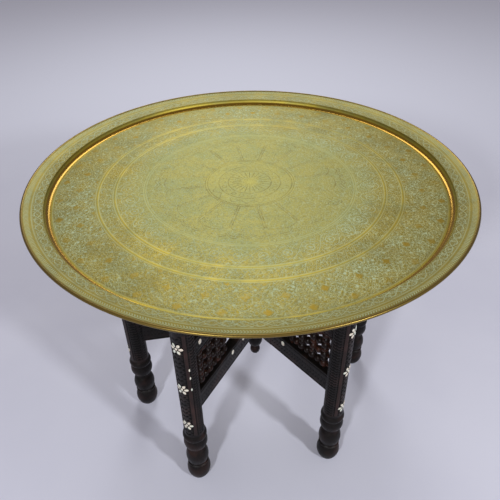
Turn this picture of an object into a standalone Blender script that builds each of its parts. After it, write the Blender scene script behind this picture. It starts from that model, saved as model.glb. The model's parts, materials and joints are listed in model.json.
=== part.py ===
"""A loose round brass tray on a folding stand of six turned wooden legs.

Metres, +Z up. The origin is on the floor under the middle of the tray. The stand's fixed frame is
two panels in one line on either side of a centre post. Four more panels are leaves: each hangs on
the post by two butt hinges and swings about its own vertical pin until it lies against the frame.
"""

import math

import bmesh
import bpy
from mathutils import Matrix, Vector

GAP = 0.0003

# Tray
TRAY_R = 0.350
TRAY_TOP_Z = 0.531
TRAY_DEPTH = 0.017
TRAY_THICKNESS = 0.002
WELL_R = 0.310
COVE_R = 0.0085
RIM_INNER_RISE = 0.0095
BEAD_R = 0.0032
TRAY_SEGMENTS = 72

# Stand
STAND_AXIS = (0.006, -0.008)
STAND_TOP_Z = TRAY_TOP_Z - TRAY_DEPTH - TRAY_THICKNESS - GAP
FRAME_AZIMUTH = math.radians(240.7)
FRAME_REACH = 0.224
LEG_R = 0.0177
LEG_SEGMENTS = 16
CAPITAL_R = 0.0195
BOARD = 0.018
RAIL_SPANS = {"low": (0.187, 0.229), "mid": (0.317, 0.353), "top": (0.474, STAND_TOP_Z)}
RAIL_EDGE = 0.0012
COPE_OVERRUN = 0.010
LATTICE_FROM_LEG = (0.0195, 0.1005)
LATTICE_THICKNESS = 0.006
LATTICE_COLUMNS = 3
LATTICE_ROWS = 4
LATTICE_BAR = 0.008
BALUSTER_FROM_LEG = 0.108
BALUSTER_R = 0.0065
BALUSTER_WAIST = 0.0035
BALUSTER_BEADS = 4

# Centre post and the hinges on it
POST_HALF_X = 0.026
POST_HALF_Y = 0.019
POST_EDGE = 0.004
POST_LOW_Z = 0.186
PIN_X = 0.020
PIN_Y = 0.022
PIN_R = 0.0015
BORE_R = 0.0018
KNUCKLE_R = 0.0027
PLATE = 0.0015
HINGE_HALF = 0.025
HINGE_MIDDLE = 0.008
HINGE_AXIAL_GAP = 0.0004
HINGE_OVERLAP = 0.001
FIXED_PLATE_FROM = 0.002
MOVING_PLATE_TO = 0.020
HINGE_HEIGHTS = {"low": 0.250, "high": 0.440}
PIN_TO_BOARD = 0.0025
STILE_SPAN = (0.004, 0.028)

# Each leaf: the end of the frame that it folds to, the side of the frame it is on, its angle from
# that end of the frame, and the distance from its pin to its leg.
LONG_LEAF = 0.204
SHORT_LEAF = 0.1845
LEAVES = {
    "left": (0, -1, math.radians(-51.5), LONG_LEAF),
    "front_right": (0, 1, math.radians(69.9), SHORT_LEAF),
    "right": (1, -1, math.radians(-38.4), LONG_LEAF),
    "rear_left": (1, 1, math.radians(69.9), SHORT_LEAF),
}
FRAME_ENDS = ("front_left", "rear_right")


def clear_scene():
    for obj in list(bpy.data.objects):
        bpy.data.objects.remove(obj, do_unlink=True)


def material(name, colour, roughness, metallic):
    made = bpy.data.materials.new(name)
    made.use_nodes = True
    shader = made.node_tree.nodes["Principled BSDF"]
    shader.inputs["Base Color"].default_value = (*colour, 1.0)
    shader.inputs["Roughness"].default_value = roughness
    shader.inputs["Metallic"].default_value = metallic
    return made


def add_object(name, bm, finish=None, parent=None, smooth=False):
    """Turns bm into an object. With no finish it is a helper that isn't part of the table."""
    bmesh.ops.recalc_face_normals(bm, faces=bm.faces)
    mesh = bpy.data.meshes.new(name)
    bm.to_mesh(mesh)
    bm.free()
    obj = bpy.data.objects.new(name, mesh)
    bpy.context.scene.collection.objects.link(obj)
    obj.parent = parent
    if finish:
        mesh.materials.append(finish)
    else:
        obj.hide_render = True
        obj.display_type = "WIRE"
    if smooth:
        mesh.shade_smooth()
        mesh.set_sharp_from_angle(angle=math.radians(35))
    return obj


def add_empty(name, location, angle, parent=None):
    empty = bpy.data.objects.new(name, None)
    bpy.context.scene.collection.objects.link(empty)
    empty.parent = parent
    empty.location = location
    empty.rotation_euler = (0.0, 0.0, angle)
    return empty


def box_mesh(low, high):
    bm = bmesh.new()
    low, high = Vector(low), Vector(high)
    size = Matrix.Diagonal((*(high - low), 1.0))
    bmesh.ops.create_cube(bm, size=1.0, matrix=Matrix.Translation((low + high) / 2) @ size)
    return bm


def cylinder_mesh(radius, x, y, z_low, z_high, segments):
    bm = bmesh.new()
    middle = Matrix.Translation((x, y, (z_low + z_high) / 2))
    bmesh.ops.create_cone(
        bm, cap_ends=True, segments=segments, radius1=radius, radius2=radius,
        depth=z_high - z_low, matrix=middle,
    )
    return bm


def turned_mesh(profile, segments, x=0.0, y=0.0):
    """Spins (radius, z) points, which start and end on the axis, into a closed solid."""
    bm = bmesh.new()
    points = [bm.verts.new((radius, 0.0, z)) for radius, z in profile]
    edges = [bm.edges.new(pair) for pair in zip(points, points[1:])]
    bmesh.ops.spin(
        bm, geom=points + edges, cent=(0, 0, 0), axis=(0, 0, 1), angle=math.tau, steps=segments
    )
    bmesh.ops.remove_doubles(bm, verts=bm.verts, dist=1e-6)
    bmesh.ops.translate(bm, verts=bm.verts, vec=(x, y, 0.0))
    return bm


def add_boolean(obj, other, operation):
    modifier = obj.modifiers.new(other.name, "BOOLEAN")
    modifier.operation = operation
    modifier.object = other
    modifier.solver = "EXACT"


def bulge(radius, waist, z_low, z_high, steps=3):
    """A turned bulge: a half sine from waist out to radius and back."""
    found = []
    for step in range(steps + 1):
        share = step / steps
        swell = (radius - waist) * math.sin(math.pi * share)
        found.append((waist + swell, z_low + (z_high - z_low) * share))
    return found


def tray_profile():
    """The tray's section from the middle of its top, over the rolled edge, to its underside."""
    well_z = TRAY_TOP_Z - TRAY_DEPTH
    bead = Vector((TRAY_R - BEAD_R, TRAY_TOP_Z - BEAD_R))
    top = [Vector((0.0, well_z)), Vector((WELL_R - 0.012, well_z))]
    for step in range(5):
        turn = math.radians(90 * step / 4)
        rise = RIM_INNER_RISE * (1 - math.cos(turn))
        top.append(Vector((WELL_R + COVE_R * math.sin(turn), well_z + rise)))
    top.append(bead + BEAD_R * Vector((-0.82, 0.57)))
    edge = []
    for step in range(7):
        turn = math.radians(115 - 230 * step / 6)
        edge.append(bead + BEAD_R * Vector((math.cos(turn), math.sin(turn))))
    under = []
    for before, here, after in zip([top[0]] + top, top, top[1:]):
        along = (after - before).normalized()
        under.append(here + TRAY_THICKNESS * Vector((along.y, -along.x)))
    under[0].x = 0.0
    return [tuple(point) for point in top + edge + under[::-1]]


def add_tray(brass):
    mesh = turned_mesh(tray_profile(), TRAY_SEGMENTS)
    add_object("tray_dish", mesh, brass, smooth=True)


def leg_profile():
    """Ball foot, disc, neck and double collar, the plain shaft, then the capital."""
    foot = [(0.0, 0.0), (0.0150, 0.0), *bulge(0.0216, 0.0172, 0.004, 0.038)]
    foot += [*bulge(0.0205, 0.0165, 0.046, 0.080), (0.0130, 0.087), (0.0165, 0.094)]
    foot += [(0.0205, 0.099), (0.0213, 0.109), (0.0195, 0.118), (0.0212, 0.124), (0.0212, 0.132)]
    shaft = [(LEG_R, 0.137), (LEG_R, 0.398)]
    cap = [(0.0200, 0.401), (0.0205, 0.408), (0.0170, 0.415), (0.0160, 0.425)]
    cap += [(0.0205, 0.447), (CAPITAL_R, 0.466), (CAPITAL_R, STAND_TOP_Z), (0.0, STAND_TOP_Z)]
    return foot + shaft + cap


def grille_edges(low, high, cells):
    """Where bars and holes meet between low and high, for that many holes in a row."""
    pitch = (high - low - LATTICE_BAR) / cells
    edges = [low]
    for cell in range(cells):
        start = low + pitch * cell
        edges += [start + LATTICE_BAR, start + pitch]
    return edges + [high]


def add_lattice(name, x_low, x_high, y, wood, parent):
    """A flat grille of nearly square holes between the low and the middle rail."""
    columns = grille_edges(x_low, x_high, LATTICE_COLUMNS)
    rows = grille_edges(RAIL_SPANS["low"][1] + GAP, RAIL_SPANS["mid"][0] - GAP, LATTICE_ROWS)
    bm = bmesh.new()
    grid = [[bm.verts.new((x, y, z)) for z in rows] for x in columns]
    for i in range(len(columns) - 1):
        for k in range(len(rows) - 1):
            is_hole = i % 2 and k % 2
            if is_hole:
                continue
            corners = (grid[i][k], grid[i + 1][k], grid[i + 1][k + 1], grid[i][k + 1])
            bm.faces.new(corners)
    obj = add_object(name, bm, wood, parent)
    thick = obj.modifiers.new("thickness", "SOLIDIFY")
    thick.thickness = LATTICE_THICKNESS
    thick.offset = 0.0


def baluster_profile():
    """A row of equal beads from the low rail to the middle one."""
    z_low, z_high = RAIL_SPANS["low"][1] + GAP, RAIL_SPANS["mid"][0] - GAP
    bead = (z_high - z_low) / BALUSTER_BEADS
    profile = [(0.0, z_low), (BALUSTER_WAIST, z_low)]
    for step in range(BALUSTER_BEADS):
        start = z_low + bead * step
        profile += bulge(BALUSTER_R, BALUSTER_WAIST, start, start + bead, 2)[1:]
    return profile + [(0.0, z_high)]


def add_panel(side, parent, inner_x, leg_x, y, wood):
    """A leg with its three rails, lattice and baluster. The rails start at inner_x."""
    add_object(
        f"leg_{side}", turned_mesh(leg_profile(), LEG_SEGMENTS, leg_x, y), wood, parent, True
    )
    for level, (z_low, z_high) in RAIL_SPANS.items():
        radius = GAP + (CAPITAL_R if level == "top" else LEG_R)
        below, above = z_low - COPE_OVERRUN, z_high + COPE_OVERRUN
        hollow = [(0.0, below), (radius, below), (radius, above), (0.0, above)]
        cutter = add_object(
            f"cope_{level}_{side}", turned_mesh(hollow, LEG_SEGMENTS, leg_x, y), parent=parent
        )
        low = (inner_x + GAP, y - BOARD / 2, z_low)
        rail = add_object(
            f"rail_{level}_{side}", box_mesh(low, (leg_x, y + BOARD / 2, z_high)), wood, parent
        )
        edge = rail.modifiers.new("edges", "BEVEL")
        edge.width = RAIL_EDGE
        edge.segments = 1
        add_boolean(rail, cutter, "DIFFERENCE")
    near, far = LATTICE_FROM_LEG
    add_lattice(f"lattice_{side}", leg_x - far, leg_x - near, y, wood, parent)
    add_object(
        f"baluster_{side}", turned_mesh(baluster_profile(), 10, leg_x - BALUSTER_FROM_LEG, y),
        wood, parent, True,
    )


def add_post(frame, wood):
    low = (-POST_HALF_X, -POST_HALF_Y, POST_LOW_Z)
    post = add_object(
        "center_post", box_mesh(low, (POST_HALF_X, POST_HALF_Y, STAND_TOP_Z)), wood, frame
    )
    edge = post.modifiers.new("edges", "BEVEL")
    edge.width = POST_EDGE
    edge.segments = 1
    top = POST_LOW_Z - GAP
    profile = [(0.0, 0.112), (0.0045, 0.1145), *bulge(0.0100, 0.0072, 0.1165, 0.1335)]
    profile += [*bulge(0.0148, 0.0082, 0.1380, 0.1700), (0.0120, 0.1735), (0.0170, 0.178)]
    profile += [(0.0170, top), (0.0, top)]
    add_object("pendant_finial", turned_mesh(profile, LEG_SEGMENTS), wood, frame, True)


def add_hinge(side, level, frame, leaf, hand, brass):
    """A butt hinge: the fixed plate holds two knuckles and the pin, the moving plate one."""
    z = HINGE_HEIGHTS[level]
    z_low, z_high = z - HINGE_HALF, z + HINGE_HALF
    knuckle_top = z + HINGE_MIDDLE + HINGE_AXIAL_GAP
    knuckle_low = z - HINGE_MIDDLE - HINGE_AXIAL_GAP
    clear_x = PIN_X - KNUCKLE_R - GAP
    near, far = POST_HALF_Y + GAP, POST_HALF_Y + GAP + PLATE

    def across(x_low, x_high, y_low, y_high, z0, z1):
        ys = sorted((hand * y_low, hand * y_high))
        return box_mesh((x_low, ys[0], z0), (x_high, ys[1], z1))

    name = f"hinge_{level}_fixed_{side}"
    fixed = add_object(name, across(FIXED_PLATE_FROM, clear_x, near, far, z_low, z_high), brass, frame)
    pin = (PIN_X, hand * PIN_Y)
    helpers = [cylinder_mesh(PIN_R, *pin, z_low + HINGE_OVERLAP, z_high - HINGE_OVERLAP, 10)]
    for start, end in ((z_low, knuckle_low), (knuckle_top, z_high)):
        helpers.append(across(clear_x - HINGE_OVERLAP, PIN_X, near, far, start, end))
        helpers.append(cylinder_mesh(KNUCKLE_R, *pin, start, end, 12))
    for number, helper in enumerate(helpers):
        add_boolean(fixed, add_object(f"{name}_{number}", helper, parent=frame), "UNION")

    name = f"hinge_{level}_moving_{side}"
    plate_far = PIN_TO_BOARD - GAP
    plate_near = plate_far - PLATE
    plate_low = KNUCKLE_R + GAP
    moving = add_object(
        name, across(plate_low, MOVING_PLATE_TO, plate_near, plate_far, z_low, z_high), brass, leaf
    )
    middle = (z - HINGE_MIDDLE, z + HINGE_MIDDLE)
    joined = [
        across(0.0, plate_low + HINGE_OVERLAP, plate_near, plate_far, *middle),
        cylinder_mesh(KNUCKLE_R, 0.0, 0.0, *middle, 12),
    ]
    for number, helper in enumerate(joined):
        add_boolean(moving, add_object(f"{name}_{number}", helper, parent=leaf), "UNION")
    bore = cylinder_mesh(BORE_R, 0.0, 0.0, z_low, z_high, 12)
    add_boolean(moving, add_object(f"{name}_bore", bore, parent=leaf), "DIFFERENCE")


def add_leaf(side, frame, hand, angle, length, wood, brass):
    leaf = add_empty(f"pin_{side}", (PIN_X, hand * PIN_Y, 0.0), angle, frame)
    y = hand * (PIN_TO_BOARD + BOARD / 2)
    inner, outer = STILE_SPAN
    low = (inner, y - BOARD / 2, RAIL_SPANS["low"][0])
    stile = add_object(
        f"stile_{side}", box_mesh(low, (outer, y + BOARD / 2, STAND_TOP_Z)), wood, leaf
    )
    edge = stile.modifiers.new("edges", "BEVEL")
    edge.width = RAIL_EDGE
    edge.segments = 1
    add_panel(side, leaf, outer, length, y, wood)
    for level in HINGE_HEIGHTS:
        add_hinge(side, level, frame, leaf, hand, brass)


def main():
    clear_scene()
    wood = material("carved_wood", (0.030, 0.020, 0.016), 0.45, 0.0)
    tray_brass = material("tray_brass", (0.62, 0.50, 0.19), 0.38, 1.0)
    hinge_brass = material("hinge_brass", (0.50, 0.36, 0.14), 0.42, 1.0)
    add_tray(tray_brass)
    stand = add_empty("stand_axis", (*STAND_AXIS, 0.0), FRAME_AZIMUTH)
    ends = []
    for number, side in enumerate(FRAME_ENDS):
        end = add_empty(f"frame_end_{side}", (0.0, 0.0, 0.0), math.pi * number, stand)
        add_panel(side, end, POST_HALF_X, FRAME_REACH, 0.0, wood)
        ends.append(end)
    add_post(stand, wood)
    for side, (end, hand, angle, length) in LEAVES.items():
        add_leaf(side, ends[end], hand, angle, length, wood, hinge_brass)


main()
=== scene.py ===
import json
import math

import bpy
import numpy as np
from mathutils import Matrix, Vector


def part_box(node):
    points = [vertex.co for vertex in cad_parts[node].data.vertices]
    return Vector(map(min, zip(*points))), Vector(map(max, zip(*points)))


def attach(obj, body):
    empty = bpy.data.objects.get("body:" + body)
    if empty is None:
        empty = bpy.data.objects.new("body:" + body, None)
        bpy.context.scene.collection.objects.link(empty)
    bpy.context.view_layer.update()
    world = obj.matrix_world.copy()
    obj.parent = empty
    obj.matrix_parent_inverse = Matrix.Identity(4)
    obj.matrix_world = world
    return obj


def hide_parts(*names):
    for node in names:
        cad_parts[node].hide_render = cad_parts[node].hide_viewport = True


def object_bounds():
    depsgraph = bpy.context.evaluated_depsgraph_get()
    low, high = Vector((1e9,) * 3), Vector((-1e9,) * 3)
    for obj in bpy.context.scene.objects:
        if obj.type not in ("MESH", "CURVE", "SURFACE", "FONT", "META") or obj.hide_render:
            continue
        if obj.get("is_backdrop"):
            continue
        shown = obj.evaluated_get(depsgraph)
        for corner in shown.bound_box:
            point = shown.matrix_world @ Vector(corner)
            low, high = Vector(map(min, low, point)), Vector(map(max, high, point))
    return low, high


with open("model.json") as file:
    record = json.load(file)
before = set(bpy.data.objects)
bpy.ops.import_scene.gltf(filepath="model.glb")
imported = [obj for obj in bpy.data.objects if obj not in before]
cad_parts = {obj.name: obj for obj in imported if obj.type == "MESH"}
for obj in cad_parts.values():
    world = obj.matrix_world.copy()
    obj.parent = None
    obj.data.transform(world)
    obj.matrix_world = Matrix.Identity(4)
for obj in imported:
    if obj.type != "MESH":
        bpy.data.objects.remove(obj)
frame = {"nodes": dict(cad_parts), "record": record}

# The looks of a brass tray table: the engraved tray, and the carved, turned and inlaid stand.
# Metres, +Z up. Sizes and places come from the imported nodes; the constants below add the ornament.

CAD_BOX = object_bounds()
GAP = 0.0003

# Camera, lights and floor
CAMERA_AT = (0.0, -0.740, 0.955)
CAMERA_PITCH = math.radians(38.1)
CAMERA_YAW = math.radians(-0.106)
CAMERA_ROLL = math.radians(-0.891)
LENS_MM = 38.0
SENSOR_MM = 36.0
FLOOR_HALF = 60.0
FLOOR_LIGHT_FADE = (0.2, 1.8)
STAND_MIDDLE = (0.0, 0.0, 0.3)
COOL_WHITE = (0.97, 0.98, 1.0)
FRONT_LAMP = {"aim": STAND_MIDDLE, "size": 0.22, "colour": COOL_WHITE}
BACK_LAMP = {"aim": (0.0, 0.3, 0.4), "size": 1.2, "colour": (1.0, 1.0, 1.0)}
LIGHTS = {
    "left": {"place": (-0.75, -1.93, 1.56), "watts": 22.5, **FRONT_LAMP},
    "right": {"place": (1.42, -1.52, 1.56), "watts": 23.5, **FRONT_LAMP},
    "back": {"place": (-0.15, 2.2, 2.4), "watts": 23.0, **BACK_LAMP},
}
SKY_COLOUR = (0.94, 0.87, 0.91)
SKY_STRENGTH = 0.32

# Tray, in metres
WELL_DEPTH = 0.017
SHEET = 0.002
COVE_START = 0.310
COVE_RADIUS = 0.0085
COVE_RISE = 0.0095
BEAD = 0.0023
ROLL_ARC = (118.0, -122.0)
RIM_SAG = 0.0007
CROWN = 0.0012
TRAY_SEGMENTS = 600
TRAY_STEP = 0.0030
COVE_STEPS = 10
RIM_STEPS = 14
CUT_DEPTH = 0.00013
DENT_DEPTH = 0.00015

# Ornament of the tray, as shares of its radius
LINE = 0.0017
RING_LINE = 0.0026
INNER_CIRCLES = (0.100, 0.143, 0.196, 0.206)
OUTER_CIRCLES = (0.474, 0.484, 0.607, 0.620, 0.683, 0.696, 0.877, 0.955)
CIRCLES = INNER_CIRCLES + OUTER_CIRCLES
PETALS = 16
PETAL_PHASE = math.radians(9.5)
PETAL_SPAN = (0.206, 0.360)
STEM_ROW = 0.546
STEM_BAND = (0.488, 0.603)
STEM_WAVES = 18
ROPE_ROW = 0.651
ROPE_BAND = (0.624, 0.680)
ROPE_STROKES = (0.626, 0.677)
LOZENGES = 34
LOZENGE_PHASE = math.radians(-81.0)
LOZENGE_ROW = 0.777
ROW_STEP = 0.152
LOZENGE_BAND = (0.700, 0.874)
LOZENGE_LINES = (0.701, 0.873)
LOZENGE_METAL = (0.706, 0.868)
COVE = (0.887, 0.905)
RIM_ROW = 0.931
RIM_BAND = (0.911, 0.950)
RIM_WAVES = 56
ZIGZAGS = 600
ZIGZAG_ROW = 0.9755
ZIGZAG_BAND = (0.966, 0.985)
ORNAMENT_END = 0.985

# Colours of the brass, from the palest residue to the darkest tarnish, with painted shade for the
# engraving's ground, the cove and the rim
RESIDUE = (0.520, 0.620, 0.390)
FILM = (0.385, 0.405, 0.145)
WARM_METAL = (0.450, 0.345, 0.034)
GREEN_METAL = (0.340, 0.285, 0.045)
RUBBED_SPOT = (0.380, 0.250, 0.018)
RUBBED_LINE = (0.240, 0.165, 0.026)
COVE_METAL_AND_SHADE = (0.300, 0.165, 0.014)
EDGE_METAL = (0.200, 0.135, 0.030)
HOLLOW_SHADE = (0.190, 0.150, 0.018)
RIM_SHADE = (0.145, 0.120, 0.030)
TARNISH_AND_SHADE = (0.150, 0.120, 0.024)

# Legs, in metres. A turned bulge is (radius, radius where it starts and ends, low, high).
LEG_R = 0.0177
CAPITAL_R = 0.0195
FOOT_BALL = (0.0216, 0.0168, 0.003, 0.038)
LOW_DISC = (0.0205, 0.0165, 0.046, 0.080)
LOW_COLLAR = (0.0213, 0.0180, 0.095, 0.1185)
SHAFT_COLLAR = (0.0213, 0.0192, 0.1218, 0.1338)
SHAFT = (0.137, 0.398)
SHAFT_RING = (0.0206, 0.0188, 0.400, 0.413)
CAPITAL = (0.0205, 0.0178, 0.4320, 0.4640)
LEG_SEGMENTS = 160
SHAFT_STEP = 0.0011

# Carving. Places round a shaft are metres or degrees from the middle of the flowers' column.
# A column of leaves is (place, pitch, length, width).
CHIP_DEPTH = 0.0010
PROUD = 0.0002
INNER_LEAVES = (0.0034, 0.0104, 0.0088, 0.0040)
OUTER_LEAVES = (0.0082, 0.0104, 0.0076, 0.0036)
HERRING_LEAVES = (0.0020, 0.0066, 0.0060, 0.0030)
HERRING_COLUMNS = (80.0, 104.0)
SHAFT_DOTS = (math.radians(138.0) * LEG_R, 0.0066, 0.0044, 0.0040)
LEAF_TILT = 0.62
HERRING_TILT = 0.70
FILLET = (34.5, 55.5)
FILLET_EDGES = ((33.0, -1), (57.0, 1))
TOOTH_PITCH = 0.0050
TOOTH_REACH = 0.0030
SHAFT_GROOVES = (33.0, 57.0, 92.0, 117.0, 126.0, 149.0)
RAIL_LEAVES = (0.0052, 0.0066, 0.0054, 0.0024)
RAIL_DOTS = (0.0, 0.0066, 0.0026, 0.0026)
GROOVE_FROM_EDGE = 0.0046
PROUD_EDGE = 0.0036
RAIL_BORDER = 0.0062

# Boards: rails, stiles and the post
BOARD_THICK = 0.018
POST_THICK = 0.038
STILE_HALF = 0.012
POST_HALF = 0.026
EDGE = 0.0014
RAIL_STEP = 0.0016
PLAIN_STEP = 0.0024

# Lattices and balusters
BEAD_COLUMNS = 3
BEAD_PITCH = 0.026
FIRST_BEAD = 0.032
BEAD_HEIGHTS = (0.2405, 0.2632, 0.2859, 0.3086)
CROSSING_BEAD_R = 0.0081
UPRIGHT_BEAD_R = 0.0068
LYING_BEAD_R = 0.0070
SPINDLE_R = 0.0030
SPINDLE_SEGMENTS = 20
BALUSTER_AT = 0.108
BALUSTER_BEADS = 4
BALUSTER_BEAD_R = 0.0065
BALUSTER_R = 0.0038
BALUSTER_SEGMENTS = 24
FINIAL_SEGMENTS = 48

# Sides of the stand, and the shell inlays on them
SIDES = ("front_left", "front_right", "right", "rear_right", "rear_left", "left")
FLOWER_HEIGHTS = {"front_left": (0.171, 0.268, 0.363), "front_right": (0.163, 0.260, 0.352)}
OTHER_FLOWERS = (0.168, 0.265, 0.360)
LEG_TWISTS = {"front_right": math.radians(12.0)}
SHELL_RISE = 0.0004
FLOWER_CENTRE = 0.0048
PETAL_FROM_CENTRE = 0.0078
PETAL_SIZE = (0.0076, 0.0052)
PETAL_POINT = 0.25
RAIL_OVALS = {"low": (0.124, 0.163), "mid": (0.030,)}
OVAL_HEIGHTS = {"low": 0.73, "mid": 0.58}
OVAL_SIZE = (0.0075, 0.0105)
OVAL_CLEARANCE = 0.008
SLIP_SIDE = "front_left"
SLIP_TURN = math.radians(54.0)
SLIP_HEIGHTS = (0.268, 0.296, 0.315)
SLIP_SIZE = (0.0062, 0.0024)


# ---- Arithmetic that works on numpy arrays and on a material's node outputs alike ----


class Value:
    """A number at each point of a surface: one output in a node tree."""

    def __init__(self, tree, socket):
        self.tree = tree
        self.socket = socket

    def math(self, operation, *others):
        node = self.tree.nodes.new("ShaderNodeMath")
        node.operation = operation
        for place, item in zip(node.inputs, (self, *others)):
            if isinstance(item, Value):
                self.tree.links.new(item.socket, place)
            else:
                place.default_value = item
        return Value(self.tree, node.outputs[0])

    def __add__(self, other):
        return self.math("ADD", other)

    def __sub__(self, other):
        return self.math("SUBTRACT", other)

    def __mul__(self, other):
        return self.math("MULTIPLY", other)

    def __rsub__(self, other):
        return self.math("MULTIPLY_ADD", -1.0, other)

    def __abs__(self):
        return self.math("ABSOLUTE")

    __radd__ = __add__
    __rmul__ = __mul__


def sine(x):
    return x.math("SINE") if isinstance(x, Value) else np.sin(x)


def root(x):
    return x.math("SQRT") if isinstance(x, Value) else np.sqrt(x)


def larger(a, b):
    return a.math("MAXIMUM", b) if isinstance(a, Value) else np.maximum(a, b)


def smaller(a, b):
    return a.math("MINIMUM", b) if isinstance(a, Value) else np.minimum(a, b)


def fold(x, period):
    """x brought to between minus half a period and plus half a period."""
    half = period / 2
    if isinstance(x, Value):
        return x.math("WRAP", half, -half)
    return (x + half) % period - half


def rising(x, low, high):
    """0 below low, 1 above high, and smooth between them."""
    if not isinstance(x, Value):
        share = np.clip((x - low) / (high - low), 0.0, 1.0)
        return share * share * (3 - 2 * share)
    node = x.tree.nodes.new("ShaderNodeMapRange")
    node.interpolation_type = "SMOOTHSTEP"
    node.inputs["From Min"].default_value = low
    node.inputs["From Max"].default_value = high
    x.tree.links.new(x.socket, node.inputs["Value"])
    return Value(x.tree, node.outputs[0])


def stroke(x, half_width=LINE):
    """A line where x is 0."""
    return 1.0 - rising(abs(x), 0.5 * half_width, 1.5 * half_width)


def inside(x, low, high, soft=0.002):
    """1 between low and high, 0 outside, with edges twice soft wide."""
    return rising(x, low - soft, low + soft) * (1.0 - rising(x, high - soft, high + soft))


# ---- The tray's ornament: q is the share of the radius, turn the angle round the middle ----


def medallion(q, turn):
    """A small rosette in a sun of fine rays, a ring of beads, and a wavy stem round them."""
    lines = stroke(fold(turn, math.tau / 24) * q, 0.0012) * inside(q, 0.040, 0.092)
    lines = larger(lines, stroke(q - 0.024 - 0.007 * sine(8 * turn)))
    across = fold(turn, math.tau / 20) * q
    bead = root(across * across + (q - 0.122) * (q - 0.122))
    lines = larger(lines, stroke(bead - 0.010, 0.0013))
    stem = stroke(q - 0.171 - 0.012 * sine(18 * turn))
    return larger(lines, stem * inside(q, 0.150, 0.192))


def petal_ring(q, turn):
    """Petals with double edges, arched ends, and a double scalloped border of three lobes each."""
    pitch = math.tau / PETALS
    start, end = PETAL_SPAN
    side = abs(fold(turn - PETAL_PHASE, pitch)) * q
    lines = stroke(side - 0.0050) * inside(q, start, end + 0.012)
    off_middle = fold(turn - PETAL_PHASE - pitch / 2, pitch) * (2 / pitch)
    arch = q - end - 0.034 * root(larger(1.0 - off_middle * off_middle, 0.0))
    lines = larger(lines, stroke(arch))
    lobe = abs(sine((turn - PETAL_PHASE) * (1.5 * PETALS))) * 0.018
    lines = larger(lines, stroke(q - lobe - 0.408))
    return larger(lines, stroke(q - lobe - 0.421))


def stem_band(q, turn):
    """Two stems that cross in a band of its own, with a round flower in every gap."""
    wave = 0.040 * sine(STEM_WAVES * turn)
    lines = larger(stroke(q - wave - STEM_ROW), stroke(q + wave - STEM_ROW))
    gap = math.pi / STEM_WAVES
    across = fold(turn - gap / 2, gap) * q
    flower = root(across * across + (q - STEM_ROW) * (q - STEM_ROW))
    lines = larger(lines, stroke(flower - 0.018))
    return larger(lines, 1.0 - rising(flower, 0.004, 0.008))


def rope_band(q, turn):
    """Short slanting strokes, as on a twisted rope."""
    slant = fold(turn + 0.9 * (q - ROPE_ROW), math.tau / 90) * q
    return stroke(slant, 0.0018) * inside(q, *ROPE_STROKES)


def lozenge_distance(q, turn):
    """0 in the middle of the nearest lozenge of the staggered rows, 1 halfway to the next one."""
    pitch = math.tau / LOZENGES
    across = abs(fold(turn - LOZENGE_PHASE, pitch)) * (2 / pitch)
    along = abs(fold(q - LOZENGE_ROW, ROW_STEP)) * (2 / ROW_STEP)
    total = across + along
    return smaller(total, 2.0 - total)


def small_drops(q, turn):
    """1 on the small bright drops halfway between the lozenges."""
    pitch = math.tau / LOZENGES
    across = fold(turn - LOZENGE_PHASE - pitch / 4, pitch / 2) * q
    along = fold(q - LOZENGE_ROW - ROW_STEP / 4, ROW_STEP / 2)
    return 1.0 - rising(root(across * across + along * along), 0.0045, 0.0075)


def lozenge_band(q, turn):
    """Three outlines round every lozenge, one inside the other."""
    near = lozenge_distance(q, turn)
    lines = stroke(near - 0.36, 0.035)
    lines = larger(lines, stroke(near - 0.93, 0.045))
    lines = larger(lines, stroke(near - 0.66, 0.030))
    return lines * inside(q, *LOZENGE_LINES)


def rim_waves(q, turn):
    """A wavy double stem on the rim's slope."""
    wave = 0.013 * sine(RIM_WAVES * turn)
    return larger(stroke(q - wave - RIM_ROW), stroke(q + wave - RIM_ROW))


def rim_zigzag(q, turn):
    """Fine chevrons along the outer edge of the rim, too fine for the mesh."""
    slant = fold(turn + 0.75 * abs(q - ZIGZAG_ROW), math.tau / ZIGZAGS) * q
    return stroke(slant, 0.0025) * inside(q, *ZIGZAG_BAND)


def inner_lines(q, turn):
    """The medallion and the petals, where the metal shows through the film."""
    lines = larger(medallion(q, turn), petal_ring(q, turn))
    for circle in INNER_CIRCLES:
        lines = larger(lines, stroke(q - circle))
    return lines


def outer_lines(q, turn):
    """The bands of the outer half, each as strong as its share of residue."""
    lines = larger(0.75 * stem_band(q, turn), 0.45 * rope_band(q, turn))
    lines = larger(lines, 0.35 * lozenge_band(q, turn))
    lines = larger(lines, small_drops(q, turn) * inside(q, *LOZENGE_METAL))
    lines = larger(lines, 0.80 * rim_waves(q, turn))
    for circle in OUTER_CIRCLES:
        lines = larger(lines, 0.40 * stroke(q - circle, RING_LINE))
    return lines


def bright_lozenges(q, turn):
    """1 on the lozenges that are left smooth."""
    return (1.0 - rising(lozenge_distance(q, turn), 0.15, 0.34)) * inside(q, *LOZENGE_METAL)


# ---- Meshes ----


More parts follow.
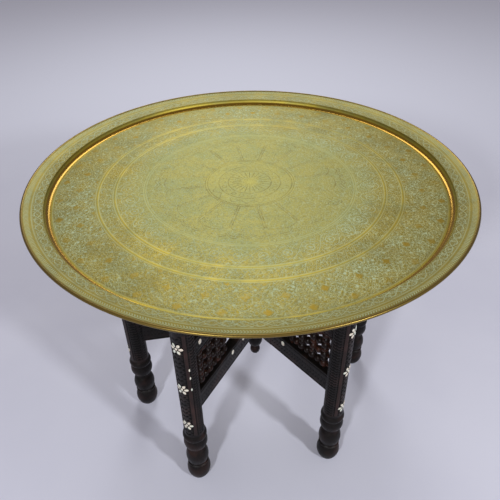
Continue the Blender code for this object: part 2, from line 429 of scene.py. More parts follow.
class Shape:
    """Points, faces and how deep each point is cut, gathered into one mesh."""

    def __init__(self):
        self.points = []
        self.faces = []
        self.cuts = []
        self.count = 0

    def add(self, points, faces, cuts=None, matrix=None):
        points = np.asarray(points, float).reshape(-1, 3)
        if matrix is not None:
            turned = np.array(matrix)
            points = points @ turned[:3, :3].T + turned[:3, 3]
        self.points.append(points)
        self.cuts.append(np.zeros(len(points)) if cuts is None else np.ravel(cuts))
        self.faces += [[int(i) + self.count for i in face] for face in faces]
        self.count += len(points)

    def build(self, name, body, finish, slot=None, sharp=45):
        mesh = bpy.data.meshes.new(name)
        mesh.from_pydata(np.concatenate(self.points).tolist(), [], self.faces)
        mesh.validate()
        cut = mesh.attributes.new("cut", "FLOAT", "POINT")
        cut.data.foreach_set("value", np.concatenate(self.cuts).astype(np.float32))
        mesh.materials.append(finish)
        mesh.shade_smooth()
        mesh.set_sharp_from_angle(angle=math.radians(sharp))
        obj = bpy.data.objects.new(name, mesh)
        bpy.context.scene.collection.objects.link(obj)
        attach(obj, body)
        return obj


def wall(rings, around):
    """Quads between rings that each have the same number of points and close on themselves."""
    ring, place = np.meshgrid(np.arange(rings - 1), np.arange(around), indexing="ij")
    after = (place + 1) % around
    corners = (ring * around + place, ring * around + after)
    corners += ((ring + 1) * around + after, (ring + 1) * around + place)
    return np.stack(corners, -1).reshape(-1, 4).tolist()


def turned(profile, segments, carve=None):
    """A solid turned about Z from (radius, z) points, low to high. carve gives a depth in metres."""
    radius, z = np.array(profile, float).T
    turn = np.arange(segments) * math.tau / segments
    turn, height = np.meshgrid(turn, z)
    reach = np.repeat(radius[:, None], segments, 1)
    depth = np.zeros_like(reach)
    if carve:
        depth = carve(turn, height)
        reach = reach - depth
    points = np.stack((reach * np.cos(turn), reach * np.sin(turn), height), -1)
    faces = wall(len(z), segments)
    faces.append(list(range(segments))[::-1])
    top = (len(z) - 1) * segments
    faces.append(list(range(top, top + segments)))
    return points, faces, depth / CHIP_DEPTH


def swell(radius, waist, low, high, steps=10):
    """A turned bulge: half an ellipse's height, from waist out to radius and back."""
    found = []
    for step in range(steps + 1):
        share = step / steps
        out = math.sin(math.pi * share) ** 0.8
        found.append((waist + (radius - waist) * out, low + (high - low) * share))
    return found


def eased_outline(low, high, half, step):
    """(up, out, face) round a board's section: up one face, over the top edge, down the other, under."""
    rows = np.linspace(low + EDGE, high - EDGE, max(2, int((high - low) / step)))
    quarter = [math.radians(angle) for angle in (30, 60, 90)]
    flank = half - EDGE
    corner = [(EDGE - EDGE * math.sin(turn), flank + EDGE * math.cos(turn)) for turn in quarter]
    found = [(low + in_from_edge, out, 0) for in_from_edge, out in corner[::-1]]
    found += [(up, half, 1) for up in rows]
    found += [(high - in_from_edge, out, 0) for in_from_edge, out in corner]
    return found + [(low + high - up, -out, -face) for up, out, face in found]


def board(length, width, thickness, carve, step, cope=None):
    """A board along X, with its width along Z and its faces at plus and minus Y, edges eased.

    carve(along, up, low, high) gives a depth on both faces. With cope, the end at low X is hollowed
    to fit round a leg of that radius, which stands at X = 0.
    """
    low, high = width
    up, out, face = np.array(eased_outline(low, high, thickness / 2, step), float).T
    start, end = length
    first = np.sqrt(cope**2 - out**2) + GAP if cope else np.full(len(up), start)
    count = max(2, int((end - start) / step))
    along = first + (end - first) * np.linspace(0.0, 1.0, count)[:, None]
    depth = carve(along, up[None, :], low, high) * (face != 0)
    points = np.stack((along, out - face * depth, np.broadcast_to(up, along.shape)), -1)
    faces = [quad[::-1] for quad in wall(count, len(up))]
    faces.append(list(range(len(up))))
    last = (count - 1) * len(up)
    faces.append(list(range(last, last + len(up)))[::-1])
    return points, faces, depth / CHIP_DEPTH


def slip(shape, place, length, width, pointed=0.0):
    """A thin domed slip of shell. place(u, v, rise) puts a point of it on the wood."""
    around = 16
    rings = ((1.04, -0.0006), (1.0, SHELL_RISE * 0.5), (0.9, SHELL_RISE), (0.5, SHELL_RISE * 1.2))
    points = []
    for share, rise in rings:
        for step in range(around):
            turn = math.tau * step / around
            narrow = 1.0 - pointed * math.cos(turn) ** 2
            u = share * length / 2 * math.cos(turn)
            v = share * width / 2 * math.sin(turn) * narrow
            points.append(place(u, v, rise))
    points.append(place(0.0, 0.0, SHELL_RISE * 1.25))
    faces = wall(len(rings), around)
    last = (len(rings) - 1) * around
    faces += [(last + i, last + (i + 1) % around, last + around) for i in range(around)]
    faces.append(list(range(around))[::-1])
    shape.add(points, faces)


# ---- Materials ----


def new_material(name, roughness, metallic=0.0):
    made = bpy.data.materials.new(name)
    made.use_nodes = True
    shader = made.node_tree.nodes["Principled BSDF"]
    shader.inputs["Roughness"].default_value = roughness
    shader.inputs["Metallic"].default_value = metallic
    return made, made.node_tree, shader


def coordinates(tree, stretch=(1.0, 1.0, 1.0)):
    source = tree.nodes.new("ShaderNodeTexCoord")
    mapping = tree.nodes.new("ShaderNodeMapping")
    mapping.inputs["Scale"].default_value = stretch
    tree.links.new(source.outputs["Object"], mapping.inputs["Vector"])
    return mapping.outputs["Vector"]


def noise(tree, vector, scale, detail):
    node = tree.nodes.new("ShaderNodeTexNoise")
    node.inputs["Scale"].default_value = scale
    node.inputs["Detail"].default_value = detail
    tree.links.new(vector, node.inputs["Vector"])
    return node


def amount(tree, node, output="Fac"):
    return Value(tree, node.outputs[output])


def mixed(tree, share, first, second):
    """A colour between first and second, each an (r, g, b) or a colour socket."""
    node = tree.nodes.new("ShaderNodeMix")
    node.data_type = "RGBA"
    tree.links.new(share.socket, node.inputs["Factor"])
    for place, item in ((node.inputs[6], first), (node.inputs[7], second)):
        if isinstance(item, tuple):
            place.default_value = (*item, 1.0)
        else:
            tree.links.new(item, place)
    return node.outputs[2]


def set_bump(tree, shader, height, distance, strength):
    node = tree.nodes.new("ShaderNodeBump")
    node.inputs["Distance"].default_value = distance
    node.inputs["Strength"].default_value = strength
    tree.links.new(height.socket, node.inputs["Height"])
    tree.links.new(node.outputs["Normal"], shader.inputs["Normal"])


def engraved_cells(tree, vector, scale, bend):
    """0 to 1: fine curling cuts, the borders of small bent cells."""
    warp = noise(tree, vector, scale * 0.5, 1.0)
    bent = tree.nodes.new("ShaderNodeVectorMath")
    bent.operation = "MULTIPLY_ADD"
    tree.links.new(warp.outputs["Color"], bent.inputs[0])
    bent.inputs[1].default_value = (bend, bend, 0.0)
    tree.links.new(vector, bent.inputs[2])
    cells = tree.nodes.new("ShaderNodeTexVoronoi")
    cells.feature = "DISTANCE_TO_EDGE"
    cells.inputs["Scale"].default_value = scale
    tree.links.new(bent.outputs[0], cells.inputs["Vector"])
    return 1.0 - rising(amount(tree, cells, "Distance"), 0.03, 0.12)


def tray_material(radius):
    """Old brass: pale green residue in the engraving, warm metal where hands and cloths rub."""
    made, tree, shader = new_material("engraved_brass", 0.4, 0.8)
    vector = coordinates(tree)
    parts = tree.nodes.new("ShaderNodeSeparateXYZ")
    tree.links.new(vector, parts.inputs[0])
    x = Value(tree, parts.outputs["X"])
    y = Value(tree, parts.outputs["Y"])
    q = root(x * x + y * y) * (1 / radius)
    turn = y.math("ARCTAN2", x)
    lozenges = bright_lozenges(q, turn)
    polished = inside(q, *COVE)
    edge = rising(q, 0.9875, 0.9900)
    rim = rising(q, 0.906, 0.912)
    field = 1.0 - rising(q, 0.48, 0.62)

    fine = engraved_cells(tree, vector, 360.0, 0.004)
    bold = engraved_cells(tree, vector, 200.0, 0.008)
    sparkle = rising(amount(tree, noise(tree, vector, 300.0, 2.0)), 0.43, 0.57)
    broad = rising(amount(tree, noise(tree, vector, 6.0, 4.0)), 0.36, 0.66)
    patches = rising(amount(tree, noise(tree, vector, 34.0, 5.0)), 0.40, 0.68)
    bright = lozenges * (0.45 + 0.55 * patches)
    smooth_metal = larger(polished, larger(edge, bright))
    dense = larger(0.75 * inside(q, *STEM_BAND), inside(q, *LOZENGE_BAND))
    dense = larger(dense, 0.8 * larger(inside(q, *ROPE_BAND), inside(q, *RIM_BAND)))
    middle_field = larger(0.62 * inside(q, 0.200, 0.478, 0.02), 0.40 * inside(q, 0.030, 0.200, 0.01))
    dense = larger(dense, middle_field)
    scrolls = larger(bold, 0.8 * fine) * (0.35 + 0.65 * sparkle)
    scrolls = scrolls * dense * (1.0 - bright)
    lines = larger(outer_lines(q, turn), (0.55 + 0.35 * patches) * rim_zigzag(q, turn))
    worn_lines = inner_lines(q, turn) * (0.35 + 0.65 * patches)
    fill = larger(lines, scrolls * (0.75 + 0.20 * patches)) * (0.65 + 0.35 * broad)
    fill = fill * (1.0 - edge) * (1.0 - polished)
    film = (0.10 + 0.46 * field + 0.14 * broad + 0.14 * patches) * (1.0 - smooth_metal)

    metal = mixed(tree, patches, WARM_METAL, GREEN_METAL)
    filmed = mixed(tree, film, metal, FILM)
    drawn = mixed(tree, worn_lines * 0.75, filmed, RUBBED_LINE)
    spotted = mixed(tree, bright * 0.85, drawn, RUBBED_SPOT)
    # Painted shade: the sloping rim is darkened, standing in for the darker surroundings it reflects.
    rim_shaded = mixed(tree, rim * 0.62, spotted, RIM_SHADE)
    # The polished cove's metal is darkened as a painted reflection of dark surroundings.
    polish = mixed(tree, polished, rim_shaded, COVE_METAL_AND_SHADE)
    edged = mixed(tree, edge, polish, EDGE_METAL)
    # Painted shade: the ground between the scrolls of the dense bands is darkened.
    hollow_shade = dense * (1.0 - scrolls) * (1.0 - bright) * (1.0 - 0.45 * field)
    shaded = mixed(tree, hollow_shade * 0.42, edged, HOLLOW_SHADE)
    filled = mixed(tree, fill, shaded, RESIDUE)
    specks = rising(amount(tree, noise(tree, vector, 240.0, 2.0)), 0.58, 0.70)
    clouds = rising(amount(tree, noise(tree, vector, 15.0, 4.0)), 0.48, 0.66)
    # Dark specks and clouds are tarnish; the darkening that grows towards the rim is painted shade.
    tarnish_and_shade = specks * 0.22 * (1.0 - smooth_metal) + 0.10 * rising(q, 0.60, 0.98)
    tarnish_and_shade = tarnish_and_shade + clouds * (1.0 - 0.75 * field) * 0.18
    colour = mixed(tree, tarnish_and_shade, filled, TARNISH_AND_SHADE)
    tree.links.new(colour, shader.inputs["Base Color"])

    rough = 0.46 + 0.14 * film + 0.12 * fill + 0.04 * bright - 0.24 * polished - 0.12 * edge
    tree.links.new(rough.socket, shader.inputs["Roughness"])
    metallic = 0.84 - 0.45 * fill
    tree.links.new(metallic.socket, shader.inputs["Metallic"])
    height = 0.5 * amount(tree, noise(tree, vector, 420.0, 2.0)) - 0.4 * larger(lines, worn_lines)
    set_bump(tree, shader, height - 0.9 * scrolls, 0.00035, 0.6)
    return made


def wood_material(name, base, worn, wear_scale, roughness=0.40):
    """Nearly black stain over a red-brown wood that shows where it has rubbed through.

    The mesh's cut attribute is above 0 in the carving and below 0 on what stands proud and rubs.
    """
    made, tree, shader = new_material(name, roughness)
    grain = amount(tree, noise(tree, coordinates(tree, (1.0, 1.0, 0.2)), 330.0, 4.0))
    broad = amount(tree, noise(tree, coordinates(tree), wear_scale, 4.0))
    cut = tree.nodes.new("ShaderNodeAttribute")
    cut.attribute_name = "cut"
    level = Value(tree, cut.outputs["Fac"])
    depth = rising(level, 0.05, 0.70)
    proud = 1.0 - rising(level, -0.16, -0.02)
    streaks = rising(grain, 0.42, 0.75)
    handled = rising(broad, 0.46, 0.70) * 0.8 + 0.5 * proud
    rubbed = smaller(handled * (1.0 - depth) * (0.5 + 0.5 * streaks), 1.0)
    colour = mixed(tree, streaks * 0.6, base, tuple(part * 0.5 for part in base))
    colour = mixed(tree, rubbed, colour, worn)
    # Painted shade: the carving's notches are darkened towards black by their depth.
    colour = mixed(tree, depth * 0.80, colour, (0.002, 0.002, 0.002))
    tree.links.new(colour, shader.inputs["Base Color"])
    rough = roughness + 0.14 * streaks + 0.35 * depth - 0.08 * rubbed
    tree.links.new(rough.socket, shader.inputs["Roughness"])
    set_bump(tree, shader, grain + 0.6 * broad, 0.0003, 0.5)
    shader.inputs["Specular IOR Level"].default_value = 0.15
    return made


def shell_material():
    """Mother-of-pearl, cream with faint pink and green clouds."""
    made, tree, shader = new_material("shell", 0.24)
    vector = coordinates(tree)
    clouds = rising(amount(tree, noise(tree, vector, 210.0, 3.0)), 0.40, 0.65)
    tint = rising(amount(tree, noise(tree, vector, 90.0, 2.0)), 0.42, 0.60)
    colour = mixed(tree, tint, (0.80, 0.74, 0.60), (0.72, 0.78, 0.66))
    colour = mixed(tree, clouds * 0.45, colour, (0.62, 0.47, 0.38))
    tree.links.new(colour, shader.inputs["Base Color"])
    rough = 0.20 + 0.18 * clouds
    tree.links.new(rough.socket, shader.inputs["Roughness"])
    set_bump(tree, shader, clouds, 0.0002, 0.3)
    shader.inputs["Coat Weight"].default_value = 0.4
    return made


def hinge_material():
    """Dull brass with brown spots and fine upright scratches."""
    made, tree, shader = new_material("dull_brass", 0.42, 0.9)
    vector = coordinates(tree)
    spots = rising(amount(tree, noise(tree, vector, 120.0, 4.0)), 0.45, 0.66)
    scratches = noise(tree, coordinates(tree, (1.0, 1.0, 0.1)), 900.0, 2.0)
    colour = mixed(tree, spots, (0.42, 0.29, 0.10), (0.13, 0.09, 0.05))
    tree.links.new(colour, shader.inputs["Base Color"])
    rough = 0.32 + 0.28 * spots
    tree.links.new(rough.socket, shader.inputs["Roughness"])
    set_bump(tree, shader, amount(tree, scratches) - 0.5 * spots, 0.0002, 0.4)
    return made


def floor_material():
    """A pale lilac floor, faintly mottled, and paler behind the table as painted light."""
    made, tree, shader = new_material("pale_floor", 0.9)
    mottle = rising(amount(tree, noise(tree, coordinates(tree), 3.0, 3.0)), 0.3, 0.7)
    parts = tree.nodes.new("ShaderNodeSeparateXYZ")
    tree.links.new(coordinates(tree), parts.inputs[0])
    far = rising(Value(tree, parts.outputs["Y"]), *FLOOR_LIGHT_FADE)
    colour = mixed(tree, mottle, (0.640, 0.650, 0.760), (0.680, 0.690, 0.795))
    colour = mixed(tree, far, colour, (0.820, 0.850, 0.970))
    tree.links.new(colour, shader.inputs["Base Color"])
    return made


# ---- The tray ----


def tray_section(radius, top):
    """The (radius, z) points of the upper face, the rolled edge and the underside."""
    well = top - WELL_DEPTH
    spots = set(np.arange(0.003, COVE_START - 0.001, TRAY_STEP).round(5))
    for circle in CIRCLES:
        spots |= {round(circle * radius + shift, 5) for shift in (-0.0009, -0.0003, 0.0003, 0.0009)}
    upper = [(spot, well + CROWN * (1 - (spot / COVE_START) ** 2)) for spot in sorted(spots)]
    upper = [point for point in upper if point[0] < COVE_START]
    for step in range(COVE_STEPS + 1):
        turn = math.pi / 2 * step / COVE_STEPS
        rise = COVE_RISE * (1 - math.cos(turn))
        upper.append((COVE_START + COVE_RADIUS * math.sin(turn), well + rise))
    roll_r, roll_z = radius - BEAD, top - BEAD
    start_r, start_z = upper[-1]
    end_r, end_z = roll_r - 0.82 * BEAD, roll_z + 0.57 * BEAD
    for step in range(1, RIM_STEPS + 1):
        share = step / RIM_STEPS
        sag = RIM_SAG * math.sin(math.pi * share)
        upper.append((start_r + (end_r - start_r) * share, start_z + (end_z - start_z) * share - sag))
    edge = []
    for angle in np.linspace(*ROLL_ARC, RIM_STEPS + 1):
        turn = math.radians(angle)
        edge.append((roll_r + BEAD * math.cos(turn), roll_z + BEAD * math.sin(turn)))
    under = []
    for before, here, after in zip(upper[:-2:6], upper[1::6], upper[2::6]):
        along = Vector(after) - Vector(before)
        along.normalize()
        under.append((here[0] + SHEET * along.y, here[1] - SHEET * along.x))
    return upper, edge, under[::-1]


def build_tray(brass):
    """The tray, with its lines engraved, its lozenges a little raised and its well a little dented."""
    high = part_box("tray_dish")[1]
    radius, top = high.x, high.z
    upper, edge, under = tray_section(radius, top)
    section = np.array(upper + edge + under)
    turn = np.arange(TRAY_SEGMENTS) * math.tau / TRAY_SEGMENTS
    turn, reach = np.meshgrid(turn, section[:, 0])
    height = np.repeat(section[:, 1][:, None], TRAY_SEGMENTS, 1)
    q = reach / radius
    face = (np.arange(len(section)) < len(upper))[:, None]
    relief = 0.30 * bright_lozenges(q, turn) - larger(inner_lines(q, turn), outer_lines(q, turn))
    dents = np.sin(5 * turn + 31 * q) * np.sin(3 * turn - 17 * q + 1) * np.sin(24 * q + 2)
    height = height + face * CUT_DEPTH * relief * (q < ORNAMENT_END)
    height = height + DENT_DEPTH * dents * inside(q, 0.05, 0.86, 0.05)
    points = np.stack((reach * np.cos(turn), reach * np.sin(turn), height), -1)
    faces = [quad[::-1] for quad in wall(len(section), TRAY_SEGMENTS)]
    faces.append(list(range(TRAY_SEGMENTS)))
    last = (len(section) - 1) * TRAY_SEGMENTS
    faces.append(list(range(last, last + TRAY_SEGMENTS))[::-1])
    shape = Shape()
    shape.add(points, faces)
    tray = shape.build("engraved_tray", "tray", brass, "tray_brass", 60)
    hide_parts("tray_dish")


# ---- The stand ----


def middle(node):
    low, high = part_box(node)
    return (low + high) / 2


def body_of_node(node):
    bodies = frame["record"]["behaviour"]["bodies"]
    return next(body for body, members in bodies.items() if node in members)


class Panel:
    """One side of the stand. Its frame stands at the leg: X points in to the post, Z up."""

    def __init__(self, side):
        self.side = side
        self.body = body_of_node(f"leg_{side}")
        self.is_leaf = f"stile_{side}" in frame["nodes"]
        leg = middle(f"leg_{side}")
        inner = middle(f"stile_{side}" if self.is_leaf else "center_post")
        inward = Vector((inner.x - leg.x, inner.y - leg.y, 0.0))
        self.reach = inward.length
        turn = math.atan2(inward.y, inward.x)
        self.matrix = Matrix.Translation((leg.x, leg.y, 0.0)) @ Matrix.Rotation(turn, 4, "Z")
        self.leg_matrix = self.matrix @ Matrix.Rotation(LEG_TWISTS.get(side, 0.0), 4, "Z")

    def heights(self, level):
        low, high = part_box(f"rail_{level}_{self.side}")
        return low.z, high.z


def leaves(across, along, column, tilt=LEAF_TILT):
    """0 to 1: a column of leaf-shaped notches, each leaning by tilt, one every pitch."""
    place, pitch, length, width = column
    aside = across - place
    up = fold(along, pitch)
    lengthwise = aside * math.cos(tilt) + up * math.sin(tilt)
    crosswise = up * math.cos(tilt) - aside * math.sin(tilt)
    return np.clip(1.25 * (1 - (2 * lengthwise / length) ** 2 - (2 * crosswise / width) ** 2), 0.0, 1.0)


def teeth(from_edge, along):
    """0 to 1: a row of triangular notches whose wide ends stand on the edge they are measured from."""
    narrow = 2.2 * abs(fold(along, TOOTH_PITCH)) / TOOTH_PITCH
    return np.clip(2.0 * (1.0 - from_edge / TOOTH_REACH - narrow), 0.0, 1.0) * (from_edge > 0)


def carve_shaft(turn, z):
    """Columns of notches between proud fillets; the flowers' column faces away from the post."""
    out = fold(turn - math.pi, math.tau)
    angle = np.degrees(abs(out))
    across = abs(out) * LEG_R
    uneven = 0.0006 * np.sin(210 * z + 3 * out)
    inner = leaves(across - uneven, z, INNER_LEAVES)
    outer = leaves(across + uneven, z + OUTER_LEAVES[1] / 2, OUTER_LEAVES, -LEAF_TILT)
    fading = 0.75 + 0.25 * np.sin(97 * z + 4 * out)
    depth = fading * np.maximum(inner * inside(angle, -1, 19, 1), outer * inside(angle, 17, 32, 1))
    for groove, hand in FILLET_EDGES:
        from_edge = hand * (across - math.radians(groove) * LEG_R)
        depth = np.maximum(depth, teeth(from_edge, z))
    for column in HERRING_COLUMNS:
        from_middle = abs(across - math.radians(column) * LEG_R)
        herring = leaves(from_middle, z, HERRING_LEAVES, HERRING_TILT)
        depth = np.maximum(depth, herring * inside(abs(angle - column), -1, 12, 0.8))
    dots = leaves(across, z, SHAFT_DOTS)
    depth = np.maximum(depth, 0.8 * dots * inside(angle, 129, 147, 1))
    for groove in SHAFT_GROOVES:
        depth = np.maximum(depth, 0.7 * stroke(angle - groove, 1.5))
    fillet = inside(angle, *FILLET, 0.8)
    low, high = SHAFT
    return (CHIP_DEPTH * depth - PROUD * fillet) * inside(z, low + 0.006, high - 0.006, 0.001)


def leg_profile(top):
    """Foot, ball, disc, neck, double collar, the long shaft, and the capital under the tray."""
    low, high = SHAFT
    points = [(0.0145, 0.0), (0.0160, 0.0012), *swell(*FOOT_BALL, 14)]
    points += [(0.0160, 0.0392), (0.0160, 0.0408), (0.0188, 0.0418), (0.0192, 0.0436), (0.0168, 0.0450)]
    points += swell(*LOW_DISC, 12)
    points += [(0.0150, 0.0815), (0.0134, 0.0850), (0.0130, 0.0880), (0.0140, 0.0915), (0.0165, 0.0940)]
    points += [*swell(*LOW_COLLAR, 12), (0.0178, 0.1195), (0.0178, 0.1210)]
    points += [*swell(*SHAFT_COLLAR, 8), (0.0182, 0.1350), (LEG_R, low)]
    rows = int((high - low) / SHAFT_STEP)
    points += [(LEG_R, low + (high - low) * row / rows) for row in range(1, rows + 1)]
    points += [(0.0184, 0.3992), *swell(*SHAFT_RING, 8), (0.0168, 0.4150)]
    points += [(0.0160, 0.4200), (0.0160, 0.4260), (0.0172, 0.4300)]
    points += [*swell(*CAPITAL, 12), (0.0182, 0.4660), (CAPITAL_R, 0.4680)]
    return points + [(CAPITAL_R, 0.480), (CAPITAL_R, top - 0.001), (0.0186, top)]


def build_leg(panel, wood):
    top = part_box(f"leg_{panel.side}")[1].z
    shape = Shape()
    shape.add(*turned(leg_profile(top), LEG_SEGMENTS, carve_shaft), panel.leg_matrix)
    leg = shape.build(f"carved_leg_{panel.side}", panel.body, wood, "carved_wood")
    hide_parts(f"leg_{panel.side}")


def on_leg(panel, angle, height, spin=0.0, along=0.0):
    """Places a slip on the shaft: its length turned by spin, its middle moved along its length."""

    def place(u, v, rise):
        u += along
        across = u * math.cos(spin) - v * math.sin(spin)
        up = u * math.sin(spin) + v * math.cos(spin)
        turn = angle + across / LEG_R
        reach = LEG_R + rise
        return panel.leg_matrix @ Vector((reach * math.cos(turn), reach * math.sin(turn), height + up))

    return place


def on_rail(panel, along, hand, height):
    """Places a slip on the face of a rail that looks to plus or minus Y."""

    def place(u, v, rise):
        return panel.matrix @ Vector((along - hand * u, hand * (BOARD_THICK / 2 + rise), height + v))

    return place


def build_leg_shell(panel, shell):
    """Three six-petalled flowers down the outer side of the leg, and small slips beside them."""
    shape = Shape()
    outward = math.pi
    for height in FLOWER_HEIGHTS.get(panel.side, OTHER_FLOWERS):
        slip(shape, on_leg(panel, outward, height), FLOWER_CENTRE, FLOWER_CENTRE)
        for petal in range(6):
            place = on_leg(panel, outward, height, math.radians(60 * petal), PETAL_FROM_CENTRE)
            slip(shape, place, *PETAL_SIZE, PETAL_POINT)
    if panel.side == SLIP_SIDE:
        for height in SLIP_HEIGHTS:
            slip(shape, on_leg(panel, outward + SLIP_TURN, height, math.pi / 2), *SLIP_SIZE)
    shape.build(f"shell_flowers_{panel.side}", panel.body, shell)


def carve_edges(along, up, low, high):
    """A fine groove along each edge, the same all along, with the wood outside it left proud."""
    from_edge = smaller(up - low, high - up)
    groove = 0.8 * CHIP_DEPTH * stroke(from_edge - GROOVE_FROM_EDGE, 0.0007)
    return groove - PROUD * (from_edge < PROUD_EDGE) + 0 * along


def carve_rail(along, up, low, high):
    """The edge grooves, and between them two rows of notches that lean away from each other."""
    from_middle = abs(up - (low + high) / 2)
    rows = leaves(from_middle, along, RAIL_LEAVES)
    dots = leaves(up - (low + high) / 2, along + RAIL_DOTS[1] / 2, RAIL_DOTS)
    notches = larger(rows, dots) * inside(from_middle, -1.0, (high - low) / 2 - RAIL_BORDER, 0.0004)
    return larger(carve_edges(along, up, low, high), 0.8 * CHIP_DEPTH * notches)


def build_rails(panel, wood, shell):
    """Three rails, each hollowed at its end to fit the leg, with shell ovals on the lower two."""
    inner = panel.reach - (STILE_HALF if panel.is_leaf else POST_HALF) - GAP
    carved = {"carve": carve_rail, "step": RAIL_STEP, "cope": LEG_R}
    plain = {"carve": carve_edges, "step": PLAIN_STEP, "cope": CAPITAL_R}
    for level, kind in (("low", carved), ("mid", carved), ("top", plain)):
        name = f"rail_{level}_{panel.side}"
        shape = Shape()
        made = board((kind["cope"], inner), panel.heights(level), BOARD_THICK, **kind)
        shape.add(*made, panel.matrix)
        rail = shape.build(f"carved_{name}", panel.body, wood, "carved_wood")
        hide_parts(name)
    ovals = Shape()
    for level, places in RAIL_OVALS.items():
        low, high = panel.heights(level)
        height = low + OVAL_HEIGHTS[level] * (high - low)
        for along in places:
            if along > inner - OVAL_CLEARANCE:
                continue
            for hand in (-1, 1):
                slip(ovals, on_rail(panel, along, hand, height), *OVAL_SIZE)
    ovals.build(f"shell_ovals_{panel.side}", panel.body, shell)


def spindle(low, high, beads, waist=SPINDLE_R):
    """A turned spindle's profile. beads is a list of (place, radius), low to high."""
    points = [(waist, low)]
    for place, radius in beads:
        half = radius * 0.92
        points += [(waist, place - half - 0.0003)]
        points += swell(radius, waist, place - half, place + half, 10)
        points += [(waist, place + half + 0.0003)]
    return points + [(waist, high)]


def lattice_opening(panel):
    """The heights of the gap between the lower and the middle rail."""
    return panel.heights("low")[1] + GAP, panel.heights("mid")[0] - GAP


def build_lattice(panel, wood):
    """Turned beads on crossing spindles between the lower and the middle rail."""
    low, high = lattice_opening(panel)
    columns = [FIRST_BEAD + BEAD_PITCH * step for step in range(BEAD_COLUMNS)]
    crossings = [(z, CROSSING_BEAD_R) for z in BEAD_HEIGHTS]
    between = [((a + b) / 2, UPRIGHT_BEAD_R) for a, b in zip(BEAD_HEIGHTS, BEAD_HEIGHTS[1:])]
    upright = turned(spindle(low, high, sorted(crossings + between)), SPINDLE_SEGMENTS)
    shape = Shape()
    for column in columns:
        shape.add(*upright, panel.matrix @ Matrix.Translation((column, 0.0, 0.0)))
    beads = [(column + BEAD_PITCH / 2, LYING_BEAD_R) for column in columns]
    crossbar = turned(spindle(LEG_R - 0.001, BALUSTER_AT - 0.003, beads), SPINDLE_SEGMENTS)
    for z in BEAD_HEIGHTS:
        lying = Matrix.Translation((0.0, 0.0, z)) @ Matrix.Rotation(math.pi / 2, 4, "Y")
        shape.add(*crossbar, panel.matrix @ lying)
    lattice = shape.build(f"turned_lattice_{panel.side}", panel.body, wood, "turned_wood")
    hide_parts(f"lattice_{panel.side}")


def build_baluster(panel, wood):
    """The thicker upright of four beads at the inner edge of the lattice."""
    low, high = lattice_opening(panel)
    pitch = (high - low) / BALUSTER_BEADS
    beads = [(low + pitch * (step + 0.5), BALUSTER_BEAD_R) for step in range(BALUSTER_BEADS)]
    upright = turned(spindle(low, high, beads, BALUSTER_R), BALUSTER_SEGMENTS)
    shape = Shape()
    shape.add(*upright, panel.matrix @ Matrix.Translation((BALUSTER_AT, 0.0, 0.0)))
    baluster = shape.build(f"turned_baluster_{panel.side}", panel.body, wood, "turned_wood")
    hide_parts(f"baluster_{panel.side}")


def upright_board(panel, node, half_width, thickness):
    """A board with grooved edges at the inner end of the panel, as tall as the node it stands for."""
    low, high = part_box(node)
    turned_up = Matrix.Rotation(-math.pi / 2, 4, "Y")
    place = panel.matrix @ Matrix.Translation((panel.reach, 0.0, 0.0)) @ turned_up
    width = (-half_width, half_width)
    shape = Shape()
    shape.add(*board((low.z, high.z), width, thickness, carve_edges, PLAIN_STEP), place)
    return shape


def build_stile(panel, wood):
    shape = upright_board(panel, f"stile_{panel.side}", STILE_HALF, BOARD_THICK)
    stile = shape.build(f"carved_stile_{panel.side}", panel.body, wood, "carved_wood")
    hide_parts(f"stile_{panel.side}")


def build_post(panel, wood):
    """The centre post, which is square to the fixed panels."""
    shape = upright_board(panel, "center_post", POST_HALF, POST_THICK)
    post = shape.build("carved_post", "frame", wood, "carved_wood")
    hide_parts("center_post")


def finial_profile(height):
    """Tip, small ball, neck, large ball, neck, and the ring that meets the post."""
    points = [(0.0010, 0.0), (0.0030, 0.0008), (0.0044, 0.0022), (0.0060, 0.0036)]
    points += [*swell(0.0100, 0.0068, 0.0042, 0.0222, 12), (0.0064, 0.0230)]
    points += [(0.0066, 0.0246), *swell(0.0148, 0.0086, 0.0256, 0.0585, 14)]
    points += [(0.0100, 0.0600), (0.0105, 0.0612), *swell(0.0170, 0.0125, 0.0622, 0.0700, 6)]
    return points + [(0.0140, 0.0706), (0.0140, height)]


def build_finial(wood):
    """The turned finial that hangs under the centre post."""
    low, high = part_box("pendant_finial")
    centre = middle("pendant_finial")
    shape = Shape()
    solid = turned(finial_profile(high.z - low.z), FINIAL_SEGMENTS)
    shape.add(*solid, Matrix.Translation((centre.x, centre.y, low.z)))
    finial = shape.build("turned_finial", "frame", wood, "turned_wood")
    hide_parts("pendant_finial")


# ---- Stage ----


def add_camera():
    camera = bpy.data.objects.new("camera", bpy.data.cameras.new("camera"))
    bpy.context.scene.collection.objects.link(camera)
    camera.data.lens = LENS_MM
    camera.data.sensor_width = SENSOR_MM
    level = math.cos(CAMERA_PITCH)
    ahead = Vector((math.sin(CAMERA_YAW) * level, math.cos(CAMERA_YAW) * level, -math.sin(CAMERA_PITCH)))
    right = ahead.cross(Vector((0.0, 0.0, 1.0))).normalized()
    up = right.cross(ahead)
    turned_right = right * math.cos(CAMERA_ROLL) + up * math.sin(CAMERA_ROLL)
    turned_up = up * math.cos(CAMERA_ROLL) - right * math.sin(CAMERA_ROLL)
    axes = Matrix((turned_right, turned_up, -ahead)).transposed()
    camera.matrix_world = Matrix.Translation(CAMERA_AT) @ axes.to_4x4()
    bpy.context.scene.camera = camera


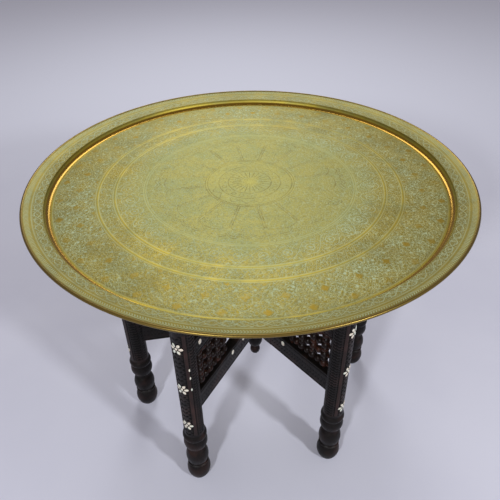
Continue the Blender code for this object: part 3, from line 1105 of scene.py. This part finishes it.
def add_light(name, place, aim, size, watts, colour):
    light = bpy.data.objects.new(name, bpy.data.lights.new(name, "AREA"))
    bpy.context.scene.collection.objects.link(light)
    light.data.shape = "DISK"
    light.data.size = size
    light.data.energy = watts
    light.data.color = colour
    light.location = place
    light.rotation_euler = (Vector(aim) - Vector(place)).to_track_quat("-Z", "Y").to_euler()


def add_stage():
    mesh = bpy.data.meshes.new("floor")
    corners = [(-1, -1), (1, -1), (1, 1), (-1, 1)]
    mesh.from_pydata([(x * FLOOR_HALF, y * FLOOR_HALF, 0.0) for x, y in corners], [], [(0, 1, 2, 3)])
    mesh.materials.append(floor_material())
    floor = bpy.data.objects.new("floor", mesh)
    bpy.context.scene.collection.objects.link(floor)
    floor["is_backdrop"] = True
    world = bpy.data.worlds.new("studio")
    world.use_nodes = True
    background = world.node_tree.nodes["Background"]
    background.inputs["Color"].default_value = (*SKY_COLOUR, 1.0)
    background.inputs["Strength"].default_value = SKY_STRENGTH
    bpy.context.scene.world = world
    bpy.context.scene.view_settings.view_transform = "Standard"
    for name, light in LIGHTS.items():
        add_light(name, **light)


def main():
    brass = tray_material(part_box("tray_dish")[1].x)
    carved = wood_material("carved_wood_stain", (0.0075, 0.0058, 0.0053), (0.046, 0.022, 0.018), 26.0)
    beads = wood_material("turned_wood_stain", (0.0120, 0.0065, 0.0050), (0.080, 0.026, 0.015), 60.0, 0.30)
    shell = shell_material()
    hinge = hinge_material()
    build_tray(brass)
    panels = [Panel(side) for side in SIDES]
    for panel in panels:
        build_leg(panel, carved)
        build_leg_shell(panel, shell)
        build_rails(panel, carved, shell)
        build_lattice(panel, beads)
        build_baluster(panel, beads)
        if panel.is_leaf:
            build_stile(panel, carved)
    build_post(panels[0], carved)
    build_finial(carved)
    for name, node in frame["nodes"].items():
        if name.startswith("hinge_"):
            node.data.materials.clear()
            node.data.materials.append(hinge)
    add_stage()
    add_camera()


main()
boxes = {"cad": CAD_BOX, "visual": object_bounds()}
{name: [list(map(float, corner)) for corner in box] for name, box in boxes.items()}
